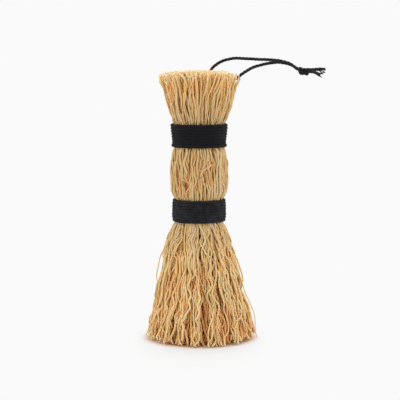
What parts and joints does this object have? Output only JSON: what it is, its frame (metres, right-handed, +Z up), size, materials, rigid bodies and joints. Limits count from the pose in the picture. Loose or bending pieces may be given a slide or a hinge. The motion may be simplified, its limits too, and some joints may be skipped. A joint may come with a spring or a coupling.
{
  "type": "washing-up whisk",
  "caption": "Washing-up whisk: a bundle of stiff root fibres bound by cord round two necks, with a barrel grip, a flared top, a long spreading working end and a knotted hanging loop.",
  "frame": {"origin": "centre of the cut ends of the working fibres, at the surface that they stand on", "axes": "+Z up along the axis of the bundle to the flared top, +X to the side that the hanging loop stands out to"},
  "size_m": [0.1084, 0.0659, 0.1708],
  "materials": {
    "root_fibre": "dry, unvarnished straw-coloured root fibre, golden to tan, darker between the fibres",
    "black_cord": "matt black cord, twisted from several plies"
  },
  "bodies": {
    "whisk": {"working_bunch_01": "root_fibre", "working_bunch_02": "root_fibre", "working_bunch_03": "root_fibre", "working_bunch_04": "root_fibre", "working_bunch_05": "root_fibre", "working_bunch_06": "root_fibre", "working_bunch_07": "root_fibre", "working_bunch_08": "root_fibre", "working_bunch_09": "root_fibre", "working_bunch_10": "root_fibre", "working_bunch_11": "root_fibre", "working_bunch_12": "root_fibre", "grip_bunch_01": "root_fibre", "grip_bunch_02": "root_fibre", "grip_bunch_03": "root_fibre", "grip_bunch_04": "root_fibre", "grip_bunch_05": "root_fibre", "grip_bunch_06": "root_fibre", "grip_bunch_07": "root_fibre", "grip_bunch_08": "root_fibre", "grip_bunch_09": "root_fibre", "grip_bunch_10": "root_fibre", "grip_bunch_11": "root_fibre", "grip_bunch_12": "root_fibre", "flare_bunch_01": "root_fibre", "flare_bunch_02": "root_fibre", "flare_bunch_03": "root_fibre", "flare_bunch_04": "root_fibre", "flare_bunch_05": "root_fibre", "flare_bunch_06": "root_fibre", "flare_bunch_07": "root_fibre", "flare_bunch_08": "root_fibre", "flare_bunch_09": "root_fibre", "flare_bunch_10": "root_fibre", "flare_bunch_11": "root_fibre", "flare_bunch_12": "root_fibre", "inner_bunch_01": "root_fibre", "inner_bunch_02": "root_fibre", "inner_bunch_03": "root_fibre", "inner_bunch_04": "root_fibre", "inner_bunch_05": "root_fibre", "inner_bunch_06": "root_fibre", "core_fibre": "root_fibre", "lower_binding": "black_cord", "upper_binding": "black_cord", "front_leg_held": "black_cord", "back_leg_held": "black_cord"},
    "hanging_loop": {"front_leg": "black_cord", "back_leg": "black_cord", "loop_knot": "black_cord", "upper_cord_end": "black_cord", "lower_cord_end": "black_cord"}
  },
  "joints": [
    {"name": "loop_swing", "type": "hinge", "parent": "whisk", "child": "hanging_loop", "pos_m": [0.02284, 0.00169, 0.15846], "axis": [0.6954, -0.705, -0.1393], "range_deg": [-45, 95]}
  ]
}
